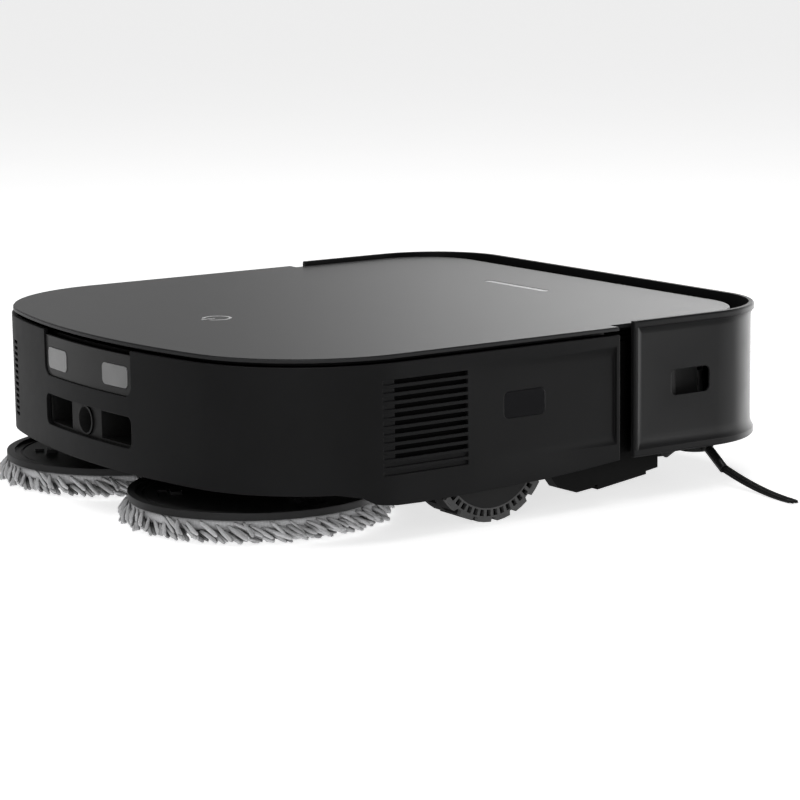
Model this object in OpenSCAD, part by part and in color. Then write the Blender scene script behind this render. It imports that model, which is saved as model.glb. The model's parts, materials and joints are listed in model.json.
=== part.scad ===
// Square-fronted robotic floor cleaner: vacuums with a roller and a side brush, mops with two
// spinning discs. The origin is on the floor under the centre of the body, +X is forward,
// +Y is the machine's left and +Z is up. All sizes are in millimetres.

/* [Body] */
// Length of the body without brush and mop overhang
body_l = 346; // [342:1:352]
// Width of the body
body_w = 320; // [318:1:326]
// Height to the bumper rim, which is the highest rigid edge
body_h = 95; // [94:0.5:98]
// Radius of the bowed rear face
rear_r = 440; // [420:5:470]
// Corner radius between the rear face and the sides
rear_corner_r = 82; // [78:1:86]
// Corner radius at the front, on the bumper
front_corner_r = 52.6; // [50:0.2:55]
// Wall thickness of the side shell
wall = 2.5; // [2.2:0.1:2.8]

/* [Lid] */
// How far the lid's upper face lies below the bumper rim
lid_drop = 2; // [1.5:0.1:2.5]
// Thickness of the lid's outer panel
lid_t = 2; // [1.8:0.1:2.2]

/* [Bumper] */
// Travel of the bumper when it meets an obstacle
bumper_travel = 4; // [3:0.5:4.5]
// Depth of the shallow waist round the bumper and the sides
waist = 1.8; // [1:0.1:2]

/* [Wheels and mops] */
// Radius of the drive wheels over the tread
wheel_r = 35; // [34:0.5:36]
// Distance from the body's centre back to the wheel axle
wheel_back = 23; // [21:1:25]
// Radius of the rigid mop plates
mop_r = 65.5; // [63:0.5:66]
// Distance from the middle plane to each mop's axis
mop_y = 68.5; // [68:0.5:70]
// Distance from the body's centre back to the mop axes
mop_back = 111.5; // [110:0.5:113]

/* [Hidden] */
$fn = 64;
eps = 0.01;
reach = 400; // longer than the body, for cutting boxes

// heights
bumper_bottom = 23.5;
bumper_t = 3;
shell_bottom = 25.7;
shell_top = body_h - 6.1;
slab_bottom = 25;
slab_t = 2.5;
mop_roof = 28; // underside of the pan above the mops
mop_roof_top = 30.5;
deck_z = 84;
deck_t = 2;
lid_top = body_h - lid_drop;

// stations along X
bumper_end = 62.7;
shell_end = 53;
lid_front = body_l / 2 - 17;

// rear panel, ports and side openings
panel_w = 94;
panel_bottom = 65;
port_w = 93;
port_z = [38.5, 55.2];
window_size = [26, 13.6];
side_window_x = -7.6;
bumper_window_x = 101.8;
window_z = 60;
grille_x = [-86, -43];
slot_pitch = 4.09;
slot_h = 2.4;
slot_top_z = 79.5;
open_slots = 10;
blind_slots = 2;
corner_count = 13;
corner_slot_a = 165;
corner_slot_z = 75;
front_window = [84, 24];

// running gear
hub_r = 27.8;
wheel_out = 152;
tyre_w = 25;
arm_pivot = [19, 48];
roller_x = 70;
roller_z = 20.5;
roller_r = 19;
roller_half = 112;
brush_pos = [132, -126];
caster_x = 138;
caster_r = 11;
caster_trail = 4;
mop_plate_z = [12.3, 16];
pad_r = mop_r + 1.3;

// inside
bin_x = [-136, -24];
bin_half = 42;
bin_z = [33, 83.5];
fan_pos = [-90, -118];

colour_shell = [0.10, 0.10, 0.11];
colour_dark = [0.05, 0.05, 0.05];
colour_grey = [0.35, 0.35, 0.36];
colour_metal = [0.75, 0.75, 0.76];
colour_pad = [0.72, 0.72, 0.73];

// ---------------------------------------------------------------- outline of the body
function arc(c, r, a0, a1, n) =
  [for (i = [0:n]) let (a = a0 + (a1 - a0) * i / n) [c[0] + r * cos(a), c[1] + r * sin(a)]];

// the rear face is one arc, joined to each side by a corner arc tangent to both
rear_c = rear_r - body_l / 2;
corner_y = body_w / 2 - rear_corner_r;
corner_x = rear_c - sqrt(pow(rear_r - rear_corner_r, 2) - pow(corner_y, 2));
corner_a = atan2(corner_y, rear_c - corner_x);
front_c = [body_l / 2 - front_corner_r, body_w / 2 - front_corner_r];

function outline(d) = concat(
  arc([front_c[0], front_c[1]], front_corner_r - d, 0, 90, 20),
  arc([corner_x, corner_y], rear_corner_r - d, 90, 180 - corner_a, 24),
  arc([rear_c, 0], rear_r - d, 180 - corner_a + 1, 180 + corner_a - 1, 24),
  arc([corner_x, -corner_y], rear_corner_r - d, 180 + corner_a, 270, 24),
  arc([front_c[0], -front_c[1]], front_corner_r - d, 270, 360, 20)
);

module plan(d = 0) polygon(outline(d));
module slab(z0, z1, d = 0) translate([0, 0, z0]) linear_extrude(z1 - z0) plan(d);
module ring(z0, z1, d0, d1) translate([0, 0, z0]) linear_extrude(z1 - z0) difference() {
  plan(d0);
  plan(d1);
}
module box(x, y, z) translate([x[0], y[0], z[0]]) cube([x[1] - x[0], y[1] - y[0], z[1] - z[0]]);
module both_sides() {
  children();
  mirror([0, 1, 0]) children();
}
// plate with rounded corners in the XZ plane, as thick as y
module side_plate(size, y, x, z, r = 3)
  translate([x, y[1], z]) rotate([90, 0, 0]) linear_extrude(y[1] - y[0]) rounded(size, r);
// plate with rounded corners in the YZ plane, as thick as x
module rear_plate(size, x, z, r = 3)
  translate([x[0], 0, z]) rotate([90, 0, 90]) linear_extrude(x[1] - x[0]) rounded(size, r);
module rounded(size, r) {
  square([size[0] - 2 * r, size[1]], center = true);
  square([size[0], size[1] - 2 * r], center = true);
  for (x = [-1, 1], y = [-1, 1]) translate([x * (size[0] / 2 - r), y * (size[1] / 2 - r)]) circle(r);
}
module mop_axes() for (s = [-1, 1]) translate([-mop_back, s * mop_y, 0]) children();
module at_wheel(y) translate([-wheel_back, y, wheel_r]) rotate([-90, 0, 0]) children();
module y_cylinder(x, z, r, y0, y1) translate([x, y0, z]) rotate([-90, 0, 0]) cylinder(r = r, h = y1 - y0);
module x_cylinder(y, z, r, x0, x1) translate([x0, y, z]) rotate([0, 90, 0]) cylinder(r = r, h = x1 - x0);

// a coil as one closed polyhedron; its axis is +Z
module coil(r, wire, turns, h, per_turn = 12, sides = 6) {
  n = turns * per_turn;
  points = [for (i = [0:n], j = [0:sides - 1])
    let (a = 360 * i / per_turn, b = 360 * j / sides, rr = r + wire * cos(b))
    [rr * cos(a), rr * sin(a), wire + (h - 2 * wire) * i / n + wire * sin(b)]];
  faces = concat(
    [for (i = [0:n - 1], j = [0:sides - 1])
      let (k = (j + 1) % sides)
      [i * sides + j, i * sides + k, (i + 1) * sides + k, (i + 1) * sides + j]],
    [[for (j = [sides - 1:-1:0]) j]],
    [[for (j = [0:sides - 1]) n * sides + j]]
  );
  polyhedron(points, faces, convexity = 6);
}

// ---------------------------------------------------------------- chassis
well_x = [-64, 31];
well_y = [100, 155];
well_top = 80;
well_t = 2;
bay_x = [46, 94];
bay_half = 117;
socket_r = 17;

module wheel_well(out) {
  g = out ? 0 : well_t;
  box([well_x[0] + g, well_x[1] - g], [well_y[0] + g, well_y[1] - g],
      [slab_bottom - (out ? 0 : 1), well_top - g]);
}

module pan_body() {
  // floor of the pan, set back in front so that the bumper clears it
  intersection() {
    slab(slab_bottom, slab_bottom + slab_t, 3.2);
    box([-reach, 50], [-reach, reach], [0, reach]);
  }
  intersection() {
    slab(slab_bottom, slab_bottom + slab_t, 9);
    box([50 - eps, reach], [-reach, reach], [0, reach]);
  }
  // raised pockets over the mops
  intersection() {
    union() mop_axes() translate([0, 0, slab_bottom]) cylinder(r = 73.5, h = mop_roof_top - slab_bottom);
    slab(slab_bottom, mop_roof_top, 3.2);
  }
  both_sides() wheel_well(true);
  // housing over the roller
  box([bay_x[0] - 2, bay_x[1] + 2], [-bay_half - 2, bay_half + 2], [14, 46]);
  // caster socket, and the boss that carries the side brush
  translate([caster_x, 0, slab_bottom]) cylinder(r = socket_r + 2, h = 12.5);
  translate([brush_pos[0], brush_pos[1], 21]) cylinder(r = 11, h = 4.5);
  // wall behind the bumper, and the seats of the bumper springs
  intersection() {
    ring(slab_bottom + slab_t - eps, deck_z - 0.2, 9, 11);
    box([45, reach], [-reach, reach], [0, reach]);
  }
  both_sides() box([154, 160], [88, 102], [slab_bottom + slab_t - eps, 58]);
}

module base_pan() color(colour_dark) {
  hollow_pan();
  // pins that the drive units swing on
  both_sides() y_cylinder(arm_pivot[0], arm_pivot[1], 3, 101, 124);
}
module hollow_pan() difference() {
  pan_body();
  mop_axes() translate([0, 0, -eps]) cylinder(r = 71, h = mop_roof + eps);
  mop_axes() cylinder(r = 13, h = 60);
  both_sides() wheel_well(false);
  // roller bay, open below and at the back for the air
  box([bay_x[0], bay_x[1]], [-bay_half, bay_half], [13, 44]);
  box([40, 50], [-36, 36], [29.5, 39.5]);
  y_cylinder(roller_x, roller_z, 3.06, -125, 125);
  translate([caster_x, 0, slab_bottom - 1]) cylinder(r = socket_r, h = 11.5);
  translate([caster_x, 0, 30]) cylinder(r = 3.2, h = 10);
  translate([brush_pos[0], brush_pos[1], 10]) cylinder(r = 4, h = 20);
  both_sides() box([86, 118], [140, 160], [48, 72]);
  box([150, 170], [-44, 44], [46, 76]);
  both_sides() x_cylinder(69, 52, 2, 160, 168);
  both_sides() x_cylinder(95, 50, 4.5, 160.05, 168);
  cliff_places() translate([0, 0, slab_bottom - 1]) linear_extrude(2.6) rounded([15.2, 9.2], 3);
  screw_places() translate([0, 0, slab_bottom - 1]) cylinder(r = 3.1, h = 5);
}

module cliff_places() both_sides() {
  translate([152, 52, 0]) rotate(90) children();
  translate([-73, 137, 0]) children();
}
module cliff_sensor_windows() color([0.02, 0.02, 0.03]) cliff_places()
  translate([0, 0, slab_bottom + 0.1]) linear_extrude(1.4) rounded([15, 9], 3);

module screw_places() both_sides() {
  translate([33, 70, 0]) children();
  translate([33, 20, 0]) children();
  translate([110, 40, 0]) children();
  translate([130, 95, 0]) children();
  translate([40, 140, 0]) children();
}
module chassis_screws() color(colour_metal) screw_places() difference() {
  translate([0, 0, slab_bottom + 0.4]) cylinder(r = 2.9, h = 2.4);
  for (a = [0, 90]) rotate(a) translate([-1.9, -0.4, slab_bottom]) cube([3.8, 0.8, 1.4]);
}

// ---------------------------------------------------------------- side shell and what sits in it
module grille_slots(deep, from, to, run = 0) for (i = [from:to])
  translate([grille_x[0] - run, body_w / 2 - deep, slot_top_z - i * slot_pitch - slot_h / 2])
    cube([grille_x[1] - grille_x[0] + run, deep + 2, slot_h]);
// one column of short slots round the rear left corner, in front of the loudspeaker
module corner_slots() for (i = [0:corner_count - 1])
  translate([corner_x, corner_y, corner_slot_z - i * 3.3]) rotate(corner_slot_a)
    translate([rear_corner_r - wall - 1, -4, -0.95]) cube([wall + 3, 8, 1.9]);

// section of the recess, as distance outwards from its floor against height
waist_section = [[0, 37.5], [0.2, 35.4], [0.7, 33.6], [1.5, 32.2], [2.6, 31.2], [10, 31.2], [10, 84],
  [2.6, 84], [1.5, 82.9], [0.7, 81.3], [0.2, 79.4], [0, 77.2]];
module waist_cut(lean) {
  // a shallow recess that deepens towards the front of each side
  translate([grille_x[1], body_w / 2, 0]) rotate(-lean)
    rotate([90, 0, 90]) linear_extrude(shell_end - grille_x[1] - 2) polygon(waist_section);
}

// side view of what is cut away under the shell; a skirt stays low over each wheel
skirt = [[-reach, 0], [-reach, shell_bottom], [-116, shell_bottom], [-104, 23.4], [-97, 19.6], [-86, 18.2],
  [-72, 17.9], [-45, 18.2], [4, 19.7], [30, 21.5], [54, 23.7], [54, 0]];
module side_shell() color(colour_shell) difference() {
  ring(15, shell_top, 0, wall);
  translate([0, reach, 0]) rotate([90, 0, 0]) linear_extrude(2 * reach) polygon(skirt);
  box([shell_end, reach], [-reach, reach], [0, reach]);
  both_sides() {
    grille_slots(wall + 1, 0, open_slots - 1);
    grille_slots(1, open_slots, open_slots + blind_slots - 1);
    // shallow ends that run out into the corner
    grille_slots(1.4, 0, open_slots + blind_slots - 1, 7);
    side_plate(window_size, [body_w / 2 - 4, body_w / 2 + 2], side_window_x, window_z + 0.3);
    waist_cut(atan2(waist, shell_end - grille_x[1]));
  }
  corner_slots();
  rear_plate([panel_w, 50], [-180, -160], panel_bottom + 25, 6);
  rear_plate([port_w, port_z[1] - port_z[0]], [-180, -160], (port_z[0] + port_z[1]) / 2, 4);
}

module contact_panel() color([0.08, 0.08, 0.09]) difference() {
  intersection() {
    ring(panel_bottom + 0.2, shell_top - 2.6, 1, 3);
    rear_plate([panel_w - 0.4, 50 - 0.4], [-180, -160], panel_bottom + 25, 6);
  }
  contact_places() rear_plate([24, 11.6], [-180, -160], 74.7, 3);
}
module contact_places() for (s = [-1, 1]) translate([0, s * 31.4, 0]) children();
module charging_contacts() color(colour_metal) intersection() {
  ring(60, 90, 0.7, 2.8);
  contact_places() rear_plate([23.6, 11.2], [-180, -160], 74.7, 2.8);
}

inlet_r = 6.8;
inlet_y = 2;
inlet_depth = 18;
seal_r = 8;
port_front = -170.2;
module port_block() color(colour_dark) difference() {
  intersection() {
    slab(port_z[0] - 2, port_z[1] + 2, 2.7);
    box([-180, -138], [-46.3, 46.3], [30, 60]);
  }
  // mouths of the two dust outlets, one each side of the water inlet
  box([-175, -150], [18.5, 44.5], [port_z[0] + 1.2, port_z[1] - 1.2]);
  box([-175, -150], [-44.5, -14], [port_z[0] + 1.2, port_z[1] - 1.2]);
  both_sides() box([-151, -130], [20, 40], [port_z[0] + 3, port_z[1] - 3]);
  x_cylinder(inlet_y, 46.9, seal_r, -175, port_front + inlet_depth);
}
module water_inlet_seal() color([0.06, 0.06, 0.06]) difference() {
  x_cylinder(inlet_y, 46.9, seal_r - 0.05, port_front - 1, port_front + inlet_depth);
  x_cylinder(inlet_y, 46.9, inlet_r, port_front - 2, port_front + inlet_depth + 1);
}

module edge_sensor_windows() color([0.03, 0.03, 0.03]) both_sides()
  side_plate(window_size - [0.3, 0.3], [body_w / 2 - 2.2, body_w / 2 - 0.6], side_window_x,
    window_z + 0.3, 2.9);

module grille_mesh() color([0.01, 0.01, 0.01]) both_sides()
  box([grille_x[0] - 1, grille_x[1] + 1], [155.8, 157.2], [37, 82]);

module deck() color([0.08, 0.08, 0.085]) difference() {
  union() {
    deck_outline(deck_z, deck_z + deck_t, 3.2);
    difference() {
      deck_outline(deck_z + deck_t - eps, 88, 5);
      deck_outline(deck_z, 90, 7.5);
    }
  }
  box([bin_x[0] - 2, bin_x[1] + 2], [-bin_half - 2, bin_half + 2], [80, 90]);
  translate([switch_x, switch_y, 80]) linear_extrude(10) rounded([16.4, 7.4], 2);
  translate([switch_x, button_y, 80]) cylinder(r = 3.3, h = 10);
}
module deck_outline(z0, z1, d) {
  intersection() {
    slab(z0, z1, d);
    box([-reach, shell_end - d / 2], [-reach, reach], [0, reach]);
  }
  intersection() {
    slab(z0, z1, d + 8);
    box([0, lid_front - d], [-reach, reach], [0, reach]);
  }
}

// ---------------------------------------------------------------- inside
module battery_pack() color([0.15, 0.25, 0.45]) difference() {
  box([-18, 32], [-75, 75], [42, 82]);
  for (z = [62, 42, 82]) box([-19, 33], [-74, 74], [z - 0.5, z + 0.5]);
}
module circuit_board() {
  color([0.05, 0.3, 0.15]) box([40, 138], [-70, 70], [75, 76.6]);
  color([0.1, 0.1, 0.1]) for (p = [[60, -30, 14], [90, 20, 18], [118, -40, 10], [70, 40, 12]])
    translate([p[0], p[1], 76.6 - eps]) linear_extrude(3.2) square(p[2], center = true);
}
module fan_housing() color([0.2, 0.2, 0.21]) difference() {
  union() {
    translate([fan_pos[0], fan_pos[1], 40]) cylinder(r = 24, h = 43);
    box([-86, -67], [-154, -118], [42, 78]);
  }
  difference() {
    translate([fan_pos[0], fan_pos[1], 43]) cylinder(r = 22, h = 26);
    translate([fan_pos[0], fan_pos[1], 40]) cylinder(r = 1.5, h = 19);
  }
  // eye above the wheel, fed from the filter; the blown air leaves at the side
  translate([fan_pos[0], fan_pos[1], 66]) cylinder(r = 12, h = 15.5);
  box([-100, -84], [-118, -90], [73, 81]);
  box([-84, -69], [-160, -122], [44, 76]);
}
module fan_impeller() color(colour_metal) translate([fan_pos[0], fan_pos[1], 0]) difference() {
  union() {
    translate([0, 0, 45]) cylinder(r = 20, h = 2);
    translate([0, 0, 46]) cylinder(r = 6, h = 14);
    for (a = [0:40:320]) rotate(a) translate([4, -0.6, 46.5]) cube([15, 1.2, 11]);
  }
  translate([0, 0, 40]) cylinder(r = 1.56, h = 21);
}
module suction_duct() color(colour_dark) difference() {
  box([-112, -82], [-93, -44.5], [71, 83]);
  box([-110, -84], [-100, -40], [73, 81]);
}
module inlet_duct() color(colour_dark) difference() {
  box([-23.6, 43.6], [-38, 38], [28, 41.5]);
  box([-25, 45], [-36, 36], [29.5, 39.5]);
}
module brush_motor() color(colour_grey) {
  y_cylinder(roller_x, 60, 12, 50, 112);
  box([58, 82], [112, 118], [48, 72]);
}
module side_brush_motor() color(colour_grey) translate([brush_pos[0], brush_pos[1], 0]) {
  translate([0, 0, 28]) cylinder(r = 12, h = 32);
  translate([0, 0, 60 - eps]) cylinder(r = 4, h = 5);
}
module water_tank() color([0.75, 0.85, 0.9, 0.6]) difference() {
  box([-146, -66], [46, 94], [71, 83]);
  box([-144, -68], [48, 92], [73, 81]);
}
module water_pump() color(colour_grey) {
  box([-142, -122], [-80, -60], [71, 81]);
  y_cylinder(-132, 77, 5.5, -60 - eps, -52);
}
module water_hoses() color([0.8, 0.8, 0.8]) {
  translate([-143, 0, port_z[1] + 2]) cylinder(r = 2, h = 20);
  y_cylinder(-143, 75.5, 2, 0, 46);
  y_cylinder(-139.5, 80, 1.4, -60, 46);
}
module speaker() color([0.12, 0.12, 0.12])
  translate([corner_x, corner_y, 55]) rotate([0, 90, corner_slot_a]) {
    translate([0, 0, 64]) cylinder(r = 15, h = 8);
    translate([0, 0, 52]) cylinder(r = 9, h = 12 + eps);
  }
module lidar_modules() color([0.03, 0.03, 0.04]) both_sides() {
  box([88, 116], [132, 147], [50, 70]);
  translate([92.5, 148, 51]) cylinder(r = 6, h = 18);
}
module camera_module() {
  color([0.04, 0.04, 0.05]) box([141, 160], [-40, 40], [50, 73]);
  color([0.02, 0.02, 0.05]) for (y = [-24, 0, 24]) x_cylinder(y, 61, 6, 160 - eps, 163);
}
module bumper_switches() color(colour_grey) both_sides() {
  box([150, 160], [62, 76], [48, 56]);
  x_cylinder(69, 52, 1.5, 160 - eps, 165.5);
}
module lid_magnets() color(colour_metal) for (x = [-150, 141], s = [-1, 1])
  translate([x, s * (x < 0 ? 50 : 80), deck_z + deck_t]) cylinder(r = 4, h = 1.8);

// ---------------------------------------------------------------- mop drives
module mop_gearmotor() color(colour_grey) {
  translate([0, 0, 33]) cylinder(r = 19, h = 14);
  translate([-4, 0, 47 - eps]) cylinder(r = 13, h = 13);
  difference() {
    translate([0, 0, 27]) cylinder(r = 11, h = 6 + eps);
    translate([0, 0, 20]) cylinder(r = 5.2, h = 12);
  }
}
module mop_plate() color(colour_dark) {
  difference() {
    translate([0, 0, mop_plate_z[0]]) cylinder(r = mop_r, h = 3.7);
    translate([0, 0, mop_plate_z[0] + 2]) cylinder(r = mop_r - 4, h = 4);
    // groove inside the rim and three slots for the pad's clips
    difference() {
      translate([0, 0, mop_plate_z[0] + 1.2]) cylinder(r = mop_r - 7.5, h = 2);
      translate([0, 0, mop_plate_z[0]]) cylinder(r = mop_r - 9, h = 4);
    }
    clip_places() translate([45, -8, mop_plate_z[0] + 1]) cube([5, 16, 4]);
  }
  // ramps beside the slots
  clip_places() translate([38, -5, mop_plate_z[0] + 2 - eps]) cube([6, 10, 1.6]);
  translate([0, 0, mop_plate_z[0] + 2 - eps]) cylinder(r = 16, h = 3);
  cylinder_stack();
}
module clip_places() for (a = [35, 155, 275]) rotate(a) children();
module cylinder_stack() {
  translate([0, 0, mop_plate_z[0] + 1]) cylinder(r = 9, h = 12);
  translate([0, 0, mop_plate_z[0] + 12]) cylinder(r = 5, h = 7);
}
module mop_pad() color(colour_pad) {
  cylinder(r = pad_r, h = mop_plate_z[0]);
}

// ---------------------------------------------------------------- bumper
// section of the bumper wall, as distance outwards from its inner face against height
module bumper_section() {
  t = bumper_t;
  polygon([[0, bumper_bottom], [t - 0.8, bumper_bottom], [t, bumper_bottom + 0.8], [t, bumper_bottom + 3.6],
    [t - waist * 0.3, bumper_bottom + 4.6], [t - waist * 0.75, bumper_bottom + 6.4],
    [t - waist * 0.95, bumper_bottom + 8.6], [t - waist, bumper_bottom + 11], [t - waist, body_h - 7.5],
    [t - waist * 0.9, body_h - 5.6], [t - waist * 0.5, body_h - 4], [t, body_h - 3.2], [t, body_h - 0.8],
    [t - 0.8, body_h], [0, body_h]]);
}
module bumper_run(len) rotate([90, 0, 0]) linear_extrude(len) bumper_section();
module bumper_corner() rotate_extrude(angle = 90, $fn = 96)
  translate([front_corner_r - bumper_t, 0]) bumper_section();

module bumper_shell() color(colour_shell) difference() {
  union() {
    translate([body_l / 2 - bumper_t, front_c[1], 0]) bumper_run(2 * front_c[1]);
    translate([front_c[0], front_c[1], 0]) bumper_corner();
    translate([front_c[0], -front_c[1], 0]) rotate(-90) bumper_corner();
    translate([bumper_end, body_w / 2 - bumper_t, 0]) rotate(90) bumper_run(front_c[0] - bumper_end);
    translate([front_c[0], -body_w / 2 + bumper_t, 0]) rotate(-90) bumper_run(front_c[0] - bumper_end);
    both_sides() bumper_rim();
  }
  both_sides() side_plate(window_size, [150, 170], bumper_window_x, window_z);
  rear_plate(front_window, [165, 180], 61, 8);
}
// upright rim that closes the waist at the bumper's rear end
module bumper_rim() translate([bumper_end, body_w / 2, bumper_bottom + 2])
  linear_extrude(body_h - bumper_bottom - 3.4)
    polygon([[0, -2.4], [0, -0.7], [0.7, 0], [2.2, 0], [3.2, -0.3 * waist], [4.6, -0.8 * waist],
      [6.4, -waist - eps], [6.4, -2.4]]);
module bumper_window() color([0.02, 0.02, 0.025])
  rear_plate(front_window - [0.3, 0.3], [body_l / 2 - 2.8, body_l / 2 - waist - 0.3], 61, 7.9);

module bumper_springs() color(colour_metal) both_sides()
  translate([160.1, 95, 50]) rotate([0, 90, 0]) coil(3.2, 0.5, 5, 9.6);

// ---------------------------------------------------------------- lid
module lid_plan(z0, z1, d) {
  intersection() {
    slab(z0, z1, d);
    box([-reach, 53.5 - d / 2], [-reach, reach], [0, reach]);
  }
  translate([0, 0, z0]) linear_extrude(z1 - z0) intersection() {
    translate([-50, 0]) square([100 + 2 * lid_front - 2 * d, body_w - 14 - 2 * d], center = true);
    translate([50, -reach]) square([reach, 2 * reach]);
    lid_nose(d);
  }
}
module lid_nose(d) {
  r = 40 - d;
  x = lid_front - 40;
  y = body_w / 2 - 7 - 40;
  translate([-100, -y - r]) square([100 + x, 2 * (y + r)]);
  translate([-100, -y]) square([100 + x + r, 2 * y]);
  for (s = [-1, 1]) translate([x, s * y]) circle(r);
}
bar_size = [5, 58];
bar_x = 106;
module bar_plan(g) translate([bar_x, 0]) rounded(bar_size + [g, g], 2.3);
module lid_panel() color([0.16, 0.16, 0.17]) difference() {
  union() {
    lid_plan(lid_top - lid_t, lid_top - 0.5, 0.8);
    lid_plan(lid_top - 0.5 - eps, lid_top, 1.2);
    difference() {
      lid_plan(88.4, lid_top - lid_t + eps, 8.5);
      lid_plan(80, 95, 11);
    }
  }
  translate([0, 0, lid_top - 0.6]) linear_extrude(9) bar_plan(0);
  translate([0, 0, lid_top - 0.5]) linear_extrude(9) icon_plan(0.05);
}
module status_bar() color(colour_metal)
  translate([0, 0, lid_top - 0.6]) linear_extrude(0.5) bar_plan(-0.2);
icon_x = -92;
// plain standby symbol: an open ring with a stroke
module icon_plan(g) translate([icon_x, 0]) {
  difference() {
    circle(8 + g);
    circle(6.4 - g);
    translate([-12, -3.2 + g]) square([12, 6.4 - 2 * g]);
  }
  translate([-9.5 - g, -0.8 - g]) square([8.5 + 2 * g, 1.6 + 2 * g]);
}
module touch_icon() color([0.85, 0.85, 0.85])
  translate([0, 0, lid_top - 0.5]) linear_extrude(0.48) icon_plan(-0.05);

// ---------------------------------------------------------------- dust bin and switches
hinge_x = -44;
hinge_z = 84.2;
handle_tip = -86;
module dust_bin() color([0.12, 0.12, 0.13]) difference() {
  union() {
    box(bin_x, [-bin_half, bin_half], bin_z);
    // ears that hold the handle
    both_sides() box([hinge_x - 3, hinge_x + 3], [23.5, 26.5], [bin_z[1] - eps, 87]);
  }
  box([bin_x[0] + 2, bin_x[1] - 2], [-bin_half + 2, bin_half - 2], [bin_z[0] + 2, bin_z[1] - 2]);
  // inlet from the roller, way out to the fan, and the two outlets to the rear ports
  box([-30, -20], [-34, 34], [35.5, 39.5]);
  box([-110, -84], [-50, -38], [73, 80]);
  both_sides() box([-140, -130], [20, 38], [port_z[0] + 3, port_z[1] - 3]);
  // shallow bed for the folded handle
  box([handle_tip - 2, hinge_x + 4], [-23.2, 23.2], [bin_z[1] - 1, 90]);
  y_cylinder(hinge_x, hinge_z, 1.56, -30, 30);
}
module bin_handle() color([0.3, 0.3, 0.32]) {
  y_cylinder(hinge_x, hinge_z, 1.5, -26, 26);
  both_sides() box([handle_tip, hinge_x], [18, 22.5], [82.9, 85]);
  box([handle_tip - 1, handle_tip + 6], [-22.5, 22.5], [82.9, 85]);
}
module bin_filter() color([0.85, 0.85, 0.8]) difference() {
  box([-120, -40], [-39.7, -33], [52, 81]);
  for (x = [-118:5:-44]) box([x, x + 2.5], [-36, -30], [54, 79]);
}
switch_x = 12;
switch_y = -56;
button_y = -38;
module power_switch() color([0.5, 0.1, 0.08]) {
  translate([switch_x - 3.5, switch_y, deck_z + 0.2]) linear_extrude(3) rounded([9, 7], 1.8);
}
module reset_button() color([0.3, 0.3, 0.3]) {
  translate([switch_x, button_y, deck_z + 0.2]) cylinder(r = 3.2, h = 2.8);
}

// ---------------------------------------------------------------- drive wheels
tread_h = 2.2;
lugs = 18;
pockets = 46;
function tread(shift) = [for (i = [0:lugs - 1], p = [[0, 0], [1, 1.2], [1, 8], [1, 14.6], [0, 15.8], [0, 18]])
  let (a = (i + shift) * 360 / lugs + p[1], r = wheel_r - tread_h * (1 - p[0])) [r * cos(a), r * sin(a)]];
module tyre() color(colour_grey) difference() {
  union() {
    linear_extrude(tyre_w / 2 + eps) polygon(tread(0));
    translate([0, 0, tyre_w / 2]) linear_extrude(tyre_w / 2) polygon(tread(0.5));
  }
  translate([0, 0, -1]) cylinder(r = hub_r, h = tyre_w + 2);
  // pockets round the outer side wall
  for (i = [0:pockets - 1]) rotate(i * 360 / pockets)
    translate([hub_r + 0.8, -1.25, tyre_w - 4]) cube([3.3, 2.5, 5]);
}
axle_r = 4;
module wheel_hub() color(colour_dark) difference() {
  union() {
    difference() {
      cylinder(r = hub_r - 0.05, h = tyre_w);
      translate([0, 0, -1]) cylinder(r = hub_r - 3, h = tyre_w - 2);
    }
    cylinder(r = 8, h = tyre_w - 1);
  }
  translate([0, 0, -1]) cylinder(r = axle_r + 0.05, h = tyre_w - 4);
}
module drive_unit() color([0.13, 0.13, 0.13]) {
  // arm with the gearbox and motor, its bearing, and the stub axle for the wheel
  difference() {
    union() {
      box([-50, 12], [105, 125], [27, 46]);
      box([-6, arm_pivot[0]], [105, 123], [arm_pivot[1] - 8, arm_pivot[1] + 8]);
      y_cylinder(arm_pivot[0], arm_pivot[1], 8, 105, 123);
    }
    y_cylinder(arm_pivot[0], arm_pivot[1], 3.06, 104, 126);
  }
  y_cylinder(-wheel_back, wheel_r, axle_r, 120, 147);
}
module suspension_spring() color(colour_metal)
  translate([-38, 113, 46.2]) coil(5, 0.8, 6, 31.4);

// ---------------------------------------------------------------- caster
caster_axle_r = 1.5;
module caster_fork() color(colour_grey) difference() {
  union() {
    translate([caster_x, 0, 8]) cylinder(r = 15.5, h = 25);
    translate([caster_x, 0, 33 - eps]) cylinder(r = 3.1, h = 6);
  }
  difference() {
    box([caster_x - caster_trail - 12.5, caster_x - caster_trail + 12.5], [-9, 9], [0, 25]);
    y_cylinder(caster_x - caster_trail, caster_r, caster_axle_r, -9.5, 9.5);
  }
}
module caster_wheel() color([0.2, 0.2, 0.2]) difference() {
  y_cylinder(caster_x - caster_trail, caster_r, caster_r, -7.5, 7.5);
  y_cylinder(caster_x - caster_trail, caster_r, caster_axle_r + 0.05, -8, 8);
  // two grooves round the tread
  for (s = [-1, 1]) difference() {
    y_cylinder(caster_x - caster_trail, caster_r, caster_r + 1, s * 3.2 - 0.5, s * 3.2 + 0.5);
    y_cylinder(caster_x - caster_trail, caster_r, caster_r - 1, s * 3.2 - 1, s * 3.2 + 1);
  }
}

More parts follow.
